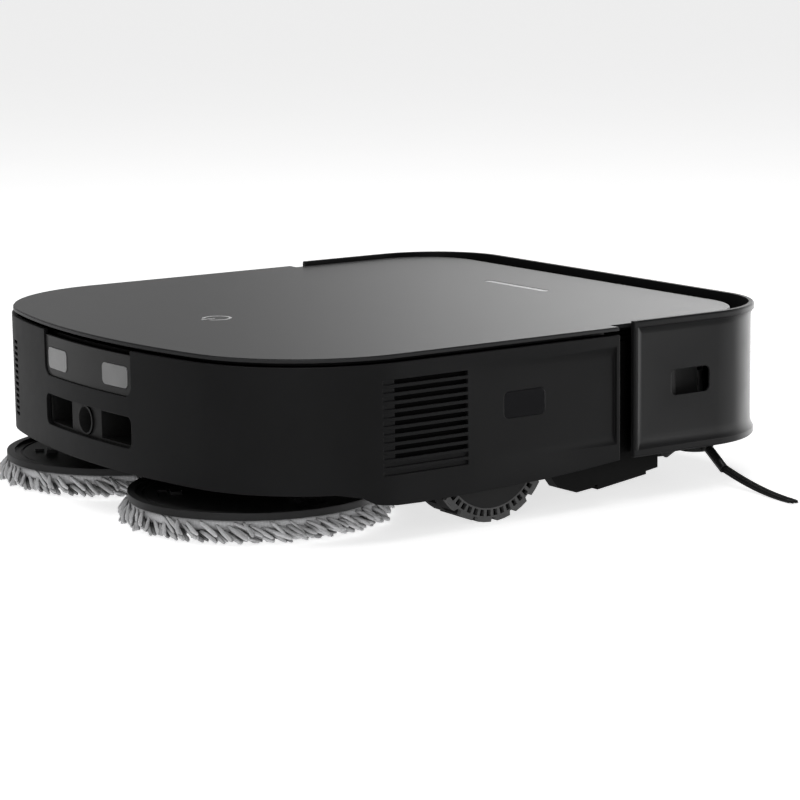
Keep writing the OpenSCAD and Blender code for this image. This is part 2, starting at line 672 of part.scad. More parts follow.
// ---------------------------------------------------------------- brushes
module roller_core() color(colour_dark) {
  y_cylinder(roller_x, roller_z, 10, -roller_half, roller_half);
  y_cylinder(roller_x, roller_z, 3, -roller_half - 6.6, roller_half + 6.6);
}
fin_t = 2;
module roller_fins() color([0.25, 0.25, 0.26]) {
  // pairs of blades that meet in a shallow V at the middle
  for (i = [0:5], s = [-1, 1]) translate([roller_x, s * 1.5, roller_z])
    rotate([-90 * s, 0, 0]) rotate(s * i * 60) blade(roller_half - 4);
}
module blade(len) translate([10.02, -fin_t / 2, 0]) cube([roller_r - 10.02, fin_t, len]);
guard_x = [37, 103];
guard_half = 130;
guard_z = 12.5;
// side view of the skid at each end of the guard
skid = [[31, guard_z], [36, 6], [48, 2], [60, 3.2], [60, 4.4], [62, 4.4], [62, 1.8], [95, 6], [95, 7.6],
  [103, 8.8], [103, guard_z + 1], [38, guard_z + 1]];
module brush_guard() color([0.07, 0.07, 0.07]) difference() {
  union() {
    box(guard_x, [-guard_half, guard_half], [guard_z, slab_bottom - 0.2]);
    both_sides() translate([0, guard_half, 0]) rotate([90, 0, 0]) linear_extrude(8) polygon(skid);
  }
  // seat round the roller housing, and the mouth
  box([bay_x[0] - 2.4, bay_x[1] + 2.4], [-bay_half - 2.4, bay_half + 2.4], [guard_z + 1.4, 30]);
  box([49.5, 90.5], [-115, 115], [0, 30]);
  // finger tabs of the two latches
  both_sides() translate([98, 60, guard_z - 1]) cylinder(r = 4, h = 3);
}
brush_angle = -93;
sleeve = [12, 17.2, 17, 33]; // start radius, height of its centre, length, slope
module brush_arm(k) rotate(brush_angle + 180 * k) children();
module side_brush_hub() color([0.1, 0.1, 0.1]) translate([brush_pos[0], brush_pos[1], 0]) {
  translate([0, 0, 14.6]) cylinder(r = 9, h = 5.2);
  translate([0, 0, 19.8 - eps]) cylinder(r = 3.6, h = 8);
  for (k = [0, 1]) brush_arm(k) {
    translate([8, -2.6, 15.6]) cube([5.5, 5.2, 3.2]);
    translate([sleeve[0], 0, sleeve[1]]) rotate([0, 90 + sleeve[3], 0]) cylinder(r = 2.6, h = sleeve[2]);
  }
}
module side_brush_bristles() color([0.04, 0.04, 0.04]) translate([brush_pos[0], brush_pos[1], 0])
  for (k = [0, 1]) brush_arm(k) translate([28.4, 0, 6.8]) rotate([0, 5, 0])
    translate([0, -2.5, -1.2]) cube([58.5, 5, 2.4]);

// ---------------------------------------------------------------- assembly
base_pan();
side_shell();
deck();
contact_panel();
charging_contacts();
port_block();
water_inlet_seal();
edge_sensor_windows();
cliff_sensor_windows();
grille_mesh();
battery_pack();
circuit_board();
fan_housing();
fan_impeller();
suction_duct();
inlet_duct();
brush_motor();
side_brush_motor();
translate([-mop_back, mop_y, 0]) mop_gearmotor();  // mop_gearmotor_left
translate([-mop_back, -mop_y, 0]) mop_gearmotor();  // mop_gearmotor_right
water_tank();
water_pump();
water_hoses();
speaker();
lidar_modules();
camera_module();
bumper_switches();
chassis_screws();
lid_magnets();
bumper_shell();
bumper_window();
bumper_springs();
lid_panel();
status_bar();
touch_icon();
dust_bin();
bin_filter();
bin_handle();
power_switch();
reset_button();
drive_unit();  // drive_unit_left
mirror([0, 1, 0]) drive_unit();  // drive_unit_right
at_wheel(wheel_out - tyre_w) wheel_hub();  // wheel_hub_left
mirror([0, 1, 0]) at_wheel(wheel_out - tyre_w) wheel_hub();  // wheel_hub_right
at_wheel(wheel_out - tyre_w) tyre();  // tyre_left
mirror([0, 1, 0]) at_wheel(wheel_out - tyre_w) tyre();  // tyre_right
suspension_spring();  // suspension_spring_left
mirror([0, 1, 0]) suspension_spring();  // suspension_spring_right
caster_fork();
caster_wheel();
roller_core();
roller_fins();
brush_guard();
side_brush_hub();
side_brush_bristles();
translate([-mop_back, mop_y, 0]) mop_plate();  // mop_plate_left
translate([-mop_back, -mop_y, 0]) mop_plate();  // mop_plate_right
translate([-mop_back, mop_y, 0]) mop_pad();  // mop_pad_left
translate([-mop_back, -mop_y, 0]) mop_pad();  // mop_pad_right
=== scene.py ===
"""Robotic floor cleaner: looks, soft goods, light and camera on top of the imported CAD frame."""

import json
import math

import bmesh
import bpy
import numpy as np
from mathutils import Matrix, Vector

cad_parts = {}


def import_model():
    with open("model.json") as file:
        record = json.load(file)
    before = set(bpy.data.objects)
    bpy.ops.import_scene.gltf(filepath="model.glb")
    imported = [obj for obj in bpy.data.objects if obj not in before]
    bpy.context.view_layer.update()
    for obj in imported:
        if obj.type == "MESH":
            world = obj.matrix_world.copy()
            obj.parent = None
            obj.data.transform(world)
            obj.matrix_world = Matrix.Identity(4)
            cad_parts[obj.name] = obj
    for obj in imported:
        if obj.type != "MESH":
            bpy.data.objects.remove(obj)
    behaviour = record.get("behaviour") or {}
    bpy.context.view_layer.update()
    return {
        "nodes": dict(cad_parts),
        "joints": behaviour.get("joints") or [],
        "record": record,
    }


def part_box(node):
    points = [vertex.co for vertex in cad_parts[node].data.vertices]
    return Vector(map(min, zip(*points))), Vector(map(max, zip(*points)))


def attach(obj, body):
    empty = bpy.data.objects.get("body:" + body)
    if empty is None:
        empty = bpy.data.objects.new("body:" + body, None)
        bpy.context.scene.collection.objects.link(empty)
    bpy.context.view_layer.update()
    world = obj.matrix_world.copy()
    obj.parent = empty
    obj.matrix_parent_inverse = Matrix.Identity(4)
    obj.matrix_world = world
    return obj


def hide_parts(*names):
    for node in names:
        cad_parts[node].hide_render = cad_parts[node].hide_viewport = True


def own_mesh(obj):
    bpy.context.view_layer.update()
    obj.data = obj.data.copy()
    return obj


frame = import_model()
nodes = frame["nodes"]
scene = bpy.context.scene
rng = np.random.default_rng(346)
MM = 0.001


# ------------------------------------------------------------------ small node helpers
def builder(node_tree):
    """Empties a node tree: (add-node function, link function)."""
    node_tree.nodes.clear()

    def add(kind, **values):
        n = node_tree.nodes.new(kind)
        for key, value in values.items():
            if key in n.inputs:
                n.inputs[key].default_value = value
            else:
                setattr(n, key, value)
        return n

    def link(a, out, b, into):
        node_tree.links.new(a.outputs[out], b.inputs[into])

    return add, link


def tree(name):
    """A new node material: (material, add-node function, link function)."""
    m = bpy.data.materials.new(name)
    m.use_nodes = True
    return (m, *builder(m.node_tree))


def ramp(add, stops):
    """A colour ramp through (position, grey or colour) stops."""
    r = add("ShaderNodeValToRGB")
    while len(r.color_ramp.elements) < len(stops):
        r.color_ramp.elements.new(0.5)
    for e, (pos, value) in zip(r.color_ramp.elements, stops):
        e.position = pos
        e.color = tuple(value) + (1,) if isinstance(value, (tuple, list)) else (value,) * 3 + (1,)
    return r


def map_range(add, low, high, to_low=0.0, to_high=1.0, **values):
    """A map-range node from low..high to to_low..to_high."""
    n = add("ShaderNodeMapRange", **values)
    n.inputs["From Min"].default_value = low
    n.inputs["From Max"].default_value = high
    n.inputs["To Min"].default_value = to_low
    n.inputs["To Max"].default_value = to_high
    return n


def multiply(add, link, a, a_out, b, b_out):
    """One colour times another."""
    n = add("ShaderNodeMix", data_type="RGBA", blend_type="MULTIPLY")
    n.inputs["Factor"].default_value = 1.0
    link(a, a_out, n, "A")
    link(b, b_out, n, "B")
    return n


def openness(add, link, reach_mm, stops):
    """How open a point lies within the reach: ambient occlusion through a ramp, used as painted shade."""
    hollow = add("ShaderNodeAmbientOcclusion", samples=6)
    hollow.inputs["Distance"].default_value = reach_mm * MM
    shade = ramp(add, stops)
    link(hollow, "AO", shade, "Fac")
    return shade


def relief(add, link, bsdf, height, out, strength, depth_mm, under=None):
    """A bump into the shader's normal, on top of another node's normal if one is given."""
    bump = add("ShaderNodeBump", Strength=strength)
    bump.inputs["Distance"].default_value = depth_mm * MM
    link(height, out, bump, "Height")
    if under:
        link(under, "Normal", bump, "Normal")
    link(bump, "Normal", bsdf, "Normal")


def darker(colour, share):
    """The colour less a share of itself."""
    return [c * (1 - share) for c in colour]


def lighter(colour, share):
    """The colour plus a share of itself."""
    return [min(1, c * (1 + share)) for c in colour]


# ------------------------------------------------------------------ materials
def two_shades(add, link, tone, distance_mm, grey):
    """The tone away from the machine's middle plane, a plain grey nearer to it than the distance."""
    blend_mm = 0.4
    geo = add("ShaderNodeNewGeometry")
    spot = add("ShaderNodeSeparateXYZ")
    link(geo, "Position", spot, "Vector")
    away = add("ShaderNodeMath", operation="ABSOLUTE")
    link(spot, "Y", away, 0)
    near = map_range(add, distance_mm * MM, (distance_mm + blend_mm) * MM)
    link(away, "Value", near, "Value")
    two = add("ShaderNodeMix", data_type="RGBA")
    link(near, "Result", two, "Factor")
    two.inputs["A"].default_value = (grey,) * 3 + (1,)
    link(tone, "Color", two, "B")
    return two


def plastic(name, colour, rough=0.45, specular=0.4, grain=0.06, grain_mm=0.35, edge=0.35,
            wear_and_edge_highlight=0.25, vary=0.08, metallic=0.0, brushed=None, alpha=1.0, rough_vary=0.06,
            painted_crevice_shade_mm=0.0, inner=None):
    """Moulded plastic or metal: uneven tone and gloss, a fine grain, rounded edges made slightly lighter as
    rubbing plus a painted edge highlight.
    edge, grain_mm and the reach of the painted shade in hidden gaps are in mm; inner is (distance in mm,
    grey) for two_shades."""
    m, add, link = tree(name)
    out = add("ShaderNodeOutputMaterial")
    bsdf = add("ShaderNodeBsdfPrincipled", Metallic=metallic, Alpha=alpha)
    bsdf.inputs["Specular IOR Level"].default_value = specular
    link(bsdf, "BSDF", out, "Surface")
    co = add("ShaderNodeTexCoord")
    stretch = add("ShaderNodeMapping", Scale=brushed or (1, 1, 1))
    link(co, "Object", stretch, "Vector")

    cloud = add("ShaderNodeTexNoise", Scale=28.0, Detail=3.0, Roughness=0.6)
    link(co, "Object", cloud, "Vector")
    tone = ramp(add, [(0.3, darker(colour, vary)), (0.7, lighter(colour, vary))])
    link(cloud, "Fac", tone, "Fac")

    # rubbed edges with a painted highlight: lighter where a bevelled normal leaves the true one
    bevel = add("ShaderNodeBevel", samples=4)
    bevel.inputs["Radius"].default_value = edge * MM
    geo = add("ShaderNodeNewGeometry")
    dot = add("ShaderNodeVectorMath", operation="DOT_PRODUCT")
    link(bevel, "Normal", dot, 0)
    link(geo, "Normal", dot, 1)
    wear_and_painted_edge_highlight = ramp(add, [(0.80, wear_and_edge_highlight), (0.985, 0.0)])
    link(dot, "Value", wear_and_painted_edge_highlight, "Fac")
    surface = add("ShaderNodeMix", data_type="RGBA")
    link(wear_and_painted_edge_highlight, "Color", surface, "Factor")
    if inner:
        link(two_shades(add, link, tone, *inner), "Result", surface, "A")
    else:
        link(tone, "Color", surface, "A")
    surface.inputs["B"].default_value = tuple(min(1, 0.03 + c * 1.6) for c in colour) + (1,)

    if painted_crevice_shade_mm:
        # painted shade: hidden gaps go dark and stop shining
        painted_gap_shade = openness(add, link, painted_crevice_shade_mm, [(0.35, 0.0), (0.85, 1.0)])
        surface = multiply(add, link, surface, "Result", painted_gap_shade, "Color")
        shine = add("ShaderNodeMath", operation="MULTIPLY")
        shine.inputs[1].default_value = specular
        link(painted_gap_shade, "Color", shine, 0)
        link(shine, "Value", bsdf, "Specular IOR Level")
    link(surface, "Result", bsdf, "Base Color")

    smear = add("ShaderNodeTexNoise", Scale=65.0, Detail=4.0, Roughness=0.7)
    link(stretch, "Vector", smear, "Vector")
    gloss = map_range(add, 0.0, 1.0, max(0.03, rough - rough_vary), rough + rough_vary)
    link(smear, "Fac", gloss, "Value")
    link(gloss, "Result", bsdf, "Roughness")

    fine = add("ShaderNodeTexNoise", Scale=1.0 / (grain_mm * MM), Detail=2.0)
    link(stretch, "Vector", fine, "Vector")
    relief(add, link, bsdf, fine, "Fac", grain, 0.1, under=bevel)
    return m


def cloth(name, specular, sheen):
    """The start of a fabric material: (material, add, link, shader, texture coordinates)."""
    m, add, link = tree(name)
    out = add("ShaderNodeOutputMaterial")
    bsdf = add("ShaderNodeBsdfPrincipled", Roughness=0.95)
    bsdf.inputs["Specular IOR Level"].default_value = specular
    bsdf.inputs["Sheen Weight"].default_value = sheen
    bsdf.inputs["Sheen Roughness"].default_value = 0.5
    link(bsdf, "BSDF", out, "Surface")
    return m, add, link, bsdf, add("ShaderNodeTexCoord")


def chenille(name, colour):
    """Microfibre yarn: short loops as bumps, a soft sheen, painted shade between the strands."""
    m, add, link, bsdf, co = cloth(name, specular=0.15, sheen=0.35)
    strand_tone = add("ShaderNodeAttribute", attribute_name="tone")
    loops = add("ShaderNodeTexVoronoi", Scale=1900.0)
    link(co, "Object", loops, "Vector")
    fuzz = add("ShaderNodeTexNoise", Scale=1500.0, Detail=4.0, Roughness=0.75)
    link(co, "Object", fuzz, "Vector")
    shade = ramp(add, [(0.25, darker(colour, 0.28)), (0.6, colour), (0.9, lighter(colour, 0.12))])
    link(fuzz, "Fac", shade, "Fac")
    yarn = multiply(add, link, shade, "Color", strand_tone, "Color")
    # painted shade: ambient occlusion within 4 mm darkens the yarn between the strands
    painted_gap_shade = openness(add, link, 4, [(0.28, 0.14), (0.72, 1.0)])
    deep_painted_shade = multiply(add, link, yarn, "Result", painted_gap_shade, "Color")
    link(deep_painted_shade, "Result", bsdf, "Base Color")
    height = add("ShaderNodeMath", operation="ADD")
    link(loops, "Distance", height, 0)
    link(fuzz, "Fac", height, 1)
    relief(add, link, bsdf, height, "Value", 0.55, 0.35)
    return m


def felt(name, colour):
    """Woven backing: a fine two-way weave over a felted ground, with painted shade low down among the
    strands.
    """
    m, add, link, bsdf, co = cloth(name, specular=0.1, sheen=0.2)
    weave = add("ShaderNodeMath", operation="MULTIPLY")
    for i, axis in enumerate("XY"):
        wave = add("ShaderNodeTexWave", Scale=230.0, Distortion=1.2, wave_type="BANDS", bands_direction=axis)
        link(co, "Object", wave, "Vector")
        link(wave, "Fac", weave, i)
    fuzz = add("ShaderNodeTexNoise", Scale=900.0, Detail=3.0)
    link(co, "Object", fuzz, "Vector")
    height = add("ShaderNodeMath", operation="ADD")
    link(weave, "Value", height, 0)
    link(fuzz, "Fac", height, 1)
    shade = ramp(add, [(0.3, darker(colour, 0.14)), (1.0, colour)])
    link(height, "Value", shade, "Fac")
    # painted shade: the backing goes dark from 8 mm down to 5.5 mm, down among the strands
    where = add("ShaderNodeSeparateXYZ")
    link(co, "Object", where, "Vector")
    above_strands = map_range(add, 5.5 * MM, 8.0 * MM)
    link(where, "Z", above_strands, "Value")
    deep_painted_shade = ramp(add, [(0.0, 0.16), (1.0, 1.0)])
    link(above_strands, "Result", deep_painted_shade, "Fac")
    both = multiply(add, link, shade, "Color", deep_painted_shade, "Color")
    link(both, "Result", bsdf, "Base Color")
    relief(add, link, bsdf, height, "Value", 0.3, 0.2)
    return m


# ------------------------------------------------------------------ finishes of the record's slots
# finishes with a crevice reach get painted shade in their hidden gaps, and every finish's wear lightens its
# edges as rubbing plus a painted highlight
FINISH = {
    "shell_plastic": dict(colour=(0.009, 0.009, 0.0095), rough=0.42, specular=0.32, grain=0.05, wear_and_edge_highlight=0.12,
                          edge=0.7),
    "pan_plastic": dict(colour=(0.008, 0.008, 0.008), rough=0.6, specular=0.2, grain=0.18, grain_mm=0.5,
                        painted_crevice_shade_mm=24, wear_and_edge_highlight=0.1),
    "deck_plastic": dict(colour=(0.010, 0.010, 0.0105), rough=0.5, grain=0.15, grain_mm=0.5, painted_crevice_shade_mm=12,
                         wear_and_edge_highlight=0.1),
    "bumper_plastic": dict(colour=(0.009, 0.009, 0.0095), rough=0.36, specular=0.42, grain=0.04, wear_and_edge_highlight=0.12,
                           edge=0.7),
    "lid_plastic": dict(colour=(0.026, 0.026, 0.027), rough=0.26, specular=0.5, grain=0.03, grain_mm=0.25,
                        wear_and_edge_highlight=0.1, vary=0.03, rough_vary=0.012),
    "panel_plastic": dict(colour=(0.030, 0.030, 0.030), rough=0.30, specular=0.5, grain=0.03, rough_vary=0.02,
                          vary=0.03),
    "contact_metal": dict(colour=(0.62, 0.62, 0.62), rough=0.34, metallic=0.9, grain=0.1,
                          brushed=(1, 1, 14), wear_and_edge_highlight=0.05),
    "port_plastic": dict(colour=(0.014, 0.014, 0.014), rough=0.4, specular=0.4, grain=0.1),
    "seal_rubber": dict(colour=(0.02, 0.02, 0.02), rough=0.45, specular=0.5, grain=0.1, painted_crevice_shade_mm=9),
    "sensor_window": dict(colour=(0.006, 0.006, 0.007), rough=0.12, specular=0.45, grain=0.01, wear_and_edge_highlight=0.05,
                          rough_vary=0.03),
    "mesh_black": dict(colour=(0.003, 0.003, 0.003), rough=0.8, specular=0.1, grain=0.6, grain_mm=1.2),
    "battery_wrap": dict(colour=(0.03, 0.06, 0.16), rough=0.3, grain=0.05),
    "board_laminate": dict(colour=(0.01, 0.08, 0.04), rough=0.3, grain=0.1),
    "duct_plastic": dict(colour=(0.03, 0.03, 0.032), rough=0.55, grain=0.2, grain_mm=0.5),
    "motor_metal": dict(colour=(0.42, 0.42, 0.42), rough=0.35, metallic=1.0, grain=0.12, brushed=(1, 1, 12)),
    "fan_plastic": dict(colour=(0.5, 0.5, 0.51), rough=0.4, grain=0.08),
    "tank_plastic": dict(colour=(0.35, 0.42, 0.46), rough=0.15, grain=0.03, alpha=0.55),
    "fitting_plastic": dict(colour=(0.12, 0.12, 0.125), rough=0.5, grain=0.15),
    "hose_silicone": dict(colour=(0.5, 0.5, 0.5), rough=0.4, grain=0.08),
    "steel": dict(colour=(0.55, 0.55, 0.56), rough=0.28, metallic=1.0, grain=0.06),
    "silver_trim": dict(colour=(0.62, 0.62, 0.63), rough=0.25, metallic=1.0, grain=0.08, brushed=(1, 12, 1)),
    "icon_print": dict(colour=(0.85, 0.85, 0.85), rough=0.5, grain=0.05),
    "bin_plastic": dict(colour=(0.02, 0.02, 0.022), rough=0.22, grain=0.04),
    "handle_plastic": dict(colour=(0.11, 0.11, 0.12), rough=0.45, grain=0.15),
    "filter_paper": dict(colour=(0.62, 0.61, 0.57), rough=0.9, specular=0.1, grain=0.5, grain_mm=0.8),
    "switch_plastic": dict(colour=(0.28, 0.02, 0.015), rough=0.35, grain=0.08),
    "button_plastic": dict(colour=(0.12, 0.12, 0.12), rough=0.45, grain=0.12),
    "drive_plastic": dict(colour=(0.03, 0.03, 0.03), rough=0.6, grain=0.2, grain_mm=0.5),
    "hub_plastic": dict(colour=(0.018, 0.018, 0.018), rough=0.5, specular=0.35, grain=0.12),
    "tyre_rubber": dict(colour=(0.095, 0.095, 0.095), rough=0.8, specular=0.25, grain=0.5, grain_mm=0.6,
                        edge=0.25, wear_and_edge_highlight=0.3, vary=0.15, inner=(149.3, 0.012)),
    "caster_plastic": dict(colour=(0.04, 0.04, 0.04), rough=0.5, grain=0.15),
    "roller_rubber": dict(colour=(0.05, 0.05, 0.052), rough=0.7, grain=0.35, grain_mm=0.6),
    "brush_plastic": dict(colour=(0.014, 0.014, 0.014), rough=0.22, specular=0.7, grain=0.05, edge=0.8),
    "bristle_nylon": dict(colour=(0.012, 0.012, 0.012), rough=0.38, specular=0.4, grain=0.1, grain_mm=0.2),
    "mop_plastic": dict(colour=(0.027, 0.027, 0.0275), rough=0.40, specular=0.45, grain=0.12, grain_mm=0.4,
                        edge=0.8),
}
materials = {name: plastic(name, **values) for name, values in FINISH.items()}
materials["mop_microfibre"] = chenille("mop_microfibre", (0.66, 0.66, 0.67))
materials["mop_backing"] = felt("mop_backing", (0.60, 0.60, 0.61))
SLOT_OF = {p["node"]: p["material_slot"] for p in frame["record"]["subparts"]}


def smooth_group(angle_deg, weld_mm):
    """Geometry nodes that weld the split corners and smooth every edge flatter than the angle."""
    g = bpy.data.node_groups.new("weld_and_smooth", "GeometryNodeTree")
    g.interface.new_socket("Geometry", in_out="INPUT", socket_type="NodeSocketGeometry")
    g.interface.new_socket("Geometry", in_out="OUTPUT", socket_type="NodeSocketGeometry")
    add, link = builder(g)
    into, out = add("NodeGroupInput"), add("NodeGroupOutput")
    drop = add("GeometryNodeRemoveAttribute", Name="custom_normal")
    weld = add("GeometryNodeMergeByDistance", Distance=weld_mm * MM)
    faces = add("GeometryNodeSetShadeSmooth", domain="FACE")
    edges = add("GeometryNodeSetShadeSmooth", domain="EDGE")
    angle = add("GeometryNodeInputMeshEdgeAngle")
    flat = add("FunctionNodeCompare", data_type="FLOAT", operation="LESS_THAN")
    flat.inputs["B"].default_value = math.radians(angle_deg)
    chain = [into, drop, weld, faces, edges, out]
    for a, b in zip(chain, chain[1:]):
        link(a, 0, b, 0)
    link(angle, "Unsigned Angle", flat, "A")
    link(flat, "Result", edges, "Shade Smooth")
    return g


SMOOTH = smooth_group(24, 0.002)
for name, obj in nodes.items():
    obj.data.materials.clear()
    obj.data.materials.append(materials[SLOT_OF[name]])
    obj.modifiers.new("smooth", "NODES").node_group = SMOOTH


# ------------------------------------------------------------------ meshes
def mesh_object(name, verts, faces, material, smooth=True, tone=None):
    """A new mesh object in metres; tone is one grey per vertex."""
    me = bpy.data.meshes.new(name)
    me.from_pydata([tuple(v) for v in verts], [], [tuple(f) for f in faces])
    if tone is not None:
        shades = me.color_attributes.new("tone", "FLOAT_COLOR", "POINT")
        shades.data.foreach_set("color", np.c_[tone, tone, tone, np.ones_like(tone)].ravel())
    me.materials.append(material)
    me.polygons.foreach_set("use_smooth", [smooth] * len(me.polygons))
    me.update()
    obj = bpy.data.objects.new(name, me)
    scene.collection.objects.link(obj)
    return obj


def fix_normals(obj):
    """Turns every face outwards."""
    bm = bmesh.new()
    bm.from_mesh(obj.data)
    bmesh.ops.recalc_face_normals(bm, faces=bm.faces)
    bm.to_mesh(obj.data)
    bm.free()


def tubes(paths, radii, sides):
    """Closed tubes along paths (n, k, 3) with radii (n, k): (vertices, faces, tube of each vertex)."""
    n, k, _ = paths.shape
    along = np.gradient(paths, axis=1)
    along /= np.linalg.norm(along, axis=2, keepdims=True)
    up = np.zeros_like(along)
    up[..., 2] = 1
    side = np.cross(along, up)
    side /= np.maximum(np.linalg.norm(side, axis=2, keepdims=True), 1e-9)
    top = np.cross(side, along)
    a = np.linspace(0, 2 * np.pi, sides, endpoint=False)[None, None, :, None]
    ring = np.cos(a) * side[:, :, None, :] + np.sin(a) * top[:, :, None, :]
    verts = (paths[:, :, None, :] + ring * radii[:, :, None, None]).reshape(-1, 3)
    first = np.arange(n)[:, None, None] * k * sides + np.arange(k - 1)[None, :, None] * sides
    this = first + np.arange(sides)
    after = first + (np.arange(sides) + 1) % sides
    walls = np.stack([this, after, after + sides, this + sides], axis=-1).reshape(-1, 4)
    faces = [tuple(q) for q in walls]
    for start in np.arange(n) * k * sides:
        end = start + (k - 1) * sides
        faces.append(tuple(range(start + sides - 1, start - 1, -1)))
        faces.append(tuple(range(end, end + sides)))
    return verts, faces, np.repeat(np.arange(n), k * sides)


def polar(r, phi, z):
    """Points from arrays of radius, angle and height."""
    return np.stack([r * np.cos(phi), r * np.sin(phi), z], axis=-1)


# ------------------------------------------------------------------ mop pads: felt backing and chenille
TIP_LOW = 1.3                       # lowest place of a strand's tip, mm
FELT_LOW, FELT_HIGH = 5.4, 12.2     # lower and upper side of the backing, mm


def strand_row(root, tip, swing, pitch, width, keep=1.0, lift=0.0, tone=1.0):
    """One ring of strands in mm round the pad's own axis: (start, bend, tip, half width, tone).
    root and tip are (radius, height), swing is how far a tip trails sideways, keep is the share
    of strands that stay, lift raises the bend, and tone scales the whole row's grey as painted light and
    shade."""
    (r0, z0), (r2, z2) = root, tip
    n = max(6, int(2 * math.pi * r0 / pitch))
    phi = np.arange(n) * 2 * np.pi / n + rng.uniform(0, 1) + rng.normal(0, 0.22 * pitch / r0, n)
    phi = phi[rng.uniform(0, 1, n) < keep]
    n = len(phi)
    sweep = np.clip(rng.normal(1.0, 0.32, n), 0.3, 1.7) * swing / max(r2, 10)
    ra = r0 + rng.normal(0, 0.3, n)
    rb = r2 + rng.normal(0, 1.0, n)
    za = z0 + rng.normal(0, 0.4, n)
    zb = np.maximum(z2 + np.abs(rng.normal(0, 0.9, n)), TIP_LOW)
    bend_r = 0.45 * ra + 0.55 * rb + rng.normal(0.5, 0.7, n)
    bend_z = 0.5 * (za + zb) + lift + rng.normal(0, 0.5, n)
    half_width = width / 2 * rng.uniform(0.86, 1.12, n)
    shade = tone * rng.uniform(0.82, 1.08, n)
    return (polar(ra, phi, za), polar(bend_r, phi + 0.5 * sweep, bend_z), polar(rb, phi + sweep, zb),
            half_width, shade)


def strand_mesh():
    """Centre lines, radii and tone of every chenille strand of one pad, in mm."""
    # three outer layers that show below the plate, the top two lighter as painted light, two darker ones
    # behind as painted shade, then the field on the floor, darker as painted shade
    rows = [
        strand_row((64.7, 10.9), (69.2, 4.6), 8.5, 6.0, 2.1, keep=0.7, lift=0.7, tone=1.08),
        strand_row((64.3, 9.2), (69.8, 2.8), 9.5, 4.8, 2.2, keep=0.8, lift=0.5, tone=1.04),
        strand_row((63.6, 7.0), (69.2, 1.6), 9.5, 4.2, 2.2, keep=0.84, lift=0.3),
        strand_row((61.4, 5.2), (66.6, 1.3), 8.5, 4.0, 2.3, keep=0.9, tone=0.6),
        strand_row((57.5, 4.6), (62.5, 1.3), 8.0, 3.8, 2.3, tone=0.42),
    ]
    rows += [strand_row((r, 4.8), (r + 3.5, 1.4), 8.0, 3.8, 2.4, tone=0.8) for r in np.arange(8.0, 55.0, 5.0)]
    start, bend, tip, radius, tone = (np.concatenate(x) for x in zip(*rows))
    # a strand is thin at its root, full in the middle and rounded at its tip
    u = np.array([0, 0.16, 0.33, 0.5, 0.66, 0.8, 0.9, 0.965, 1.0])
    taper = np.array([0.72, 0.9, 1.0, 1.03, 1.02, 1.0, 0.9, 0.66, 0.26])
    v = u[None, :, None]
    path = (1 - v) ** 2 * start[:, None] + 2 * v * (1 - v) * bend[:, None] + v ** 2 * tip[:, None]
    wobble = rng.normal(0, 0.14, path.shape) * v
    wobble[..., 2] *= 0.4
    path += wobble
    radii = radius[:, None] * taper[None] * rng.uniform(0.93, 1.07, (len(radius), len(u)))
    path[..., 2] = np.maximum(path[..., 2], radii + 0.12)
    return path, radii, tone


def backing_shell():
    """Felt disc as a closed mesh: crowned rim, flat top, in mm round the pad's own axis."""
    rim = [(60, 5.6), (63.2, 6.4), (64.6, 7.8), (65.0, 9.4), (64.8, 11.0), (64.2, 12.1)]
    below = [(r, FELT_LOW) for r in (14, 28, 42, 54)]
    above = [(r, FELT_HIGH) for r in (60, 48, 32, 16)]
    outline = below + rim + above
    n = 144
    verts, faces = [(0, 0, FELT_LOW)], []
    for r, z in outline:
        for i in range(n):
            a = 2 * math.pi * i / n
            verts.append((r * math.cos(a), r * math.sin(a), z))
    verts.append((0, 0, FELT_HIGH))
    last = 1 + (len(outline) - 1) * n
    for i in range(n):
        j = (i + 1) % n
        faces.append((0, 1 + j, 1 + i))
        for a in range(1, last, n):
            faces.append((a + i, a + j, a + n + j, a + n + i))
        faces.append((last + i, last + j, len(verts) - 1))
    return np.array(verts, float), faces


def puff(obj, cap_mm, frames=14):
    """Cloth with a little pressure, applied to the mesh, with each point's travel capped.
    The top that is glued to the plate and the middle stay pinned."""
    glued_above, pinned_inside = 11.9 * MM, 50 * MM
    start = np.array([v.co[:] for v in obj.data.vertices])
    held = [i for i, c in enumerate(start) if c[2] > glued_above or math.hypot(c[0], c[1]) < pinned_inside]
    obj.vertex_groups.new(name="pinned").add(held, 1.0, "ADD")
    mod = obj.modifiers.new("cloth", "CLOTH")
    mod.settings.quality = 5
    mod.settings.mass = 0.2
    mod.settings.tension_stiffness = mod.settings.compression_stiffness = 25
    mod.settings.bending_stiffness = 2.0
    mod.settings.vertex_group_mass = "pinned"
    mod.settings.use_pressure = True
    mod.settings.uniform_pressure_force = 4.0
    mod.settings.effector_weights.gravity = 0
    mod.point_cache.frame_start, mod.point_cache.frame_end = 1, frames
    for f in range(1, frames + 1):
        scene.frame_set(f)
    shape = obj.evaluated_get(bpy.context.evaluated_depsgraph_get()).to_mesh()
    moved = np.array([v.co[:] for v in shape.vertices]) - start
    obj.modifiers.remove(mod)
    scene.frame_set(1)
    length = np.linalg.norm(moved, axis=1, keepdims=True)
    moved *= np.minimum(1, cap_mm * MM / np.maximum(length, 1e-9))
    obj.data.vertices.foreach_set("co", (start + moved).ravel())
    obj.data.update()


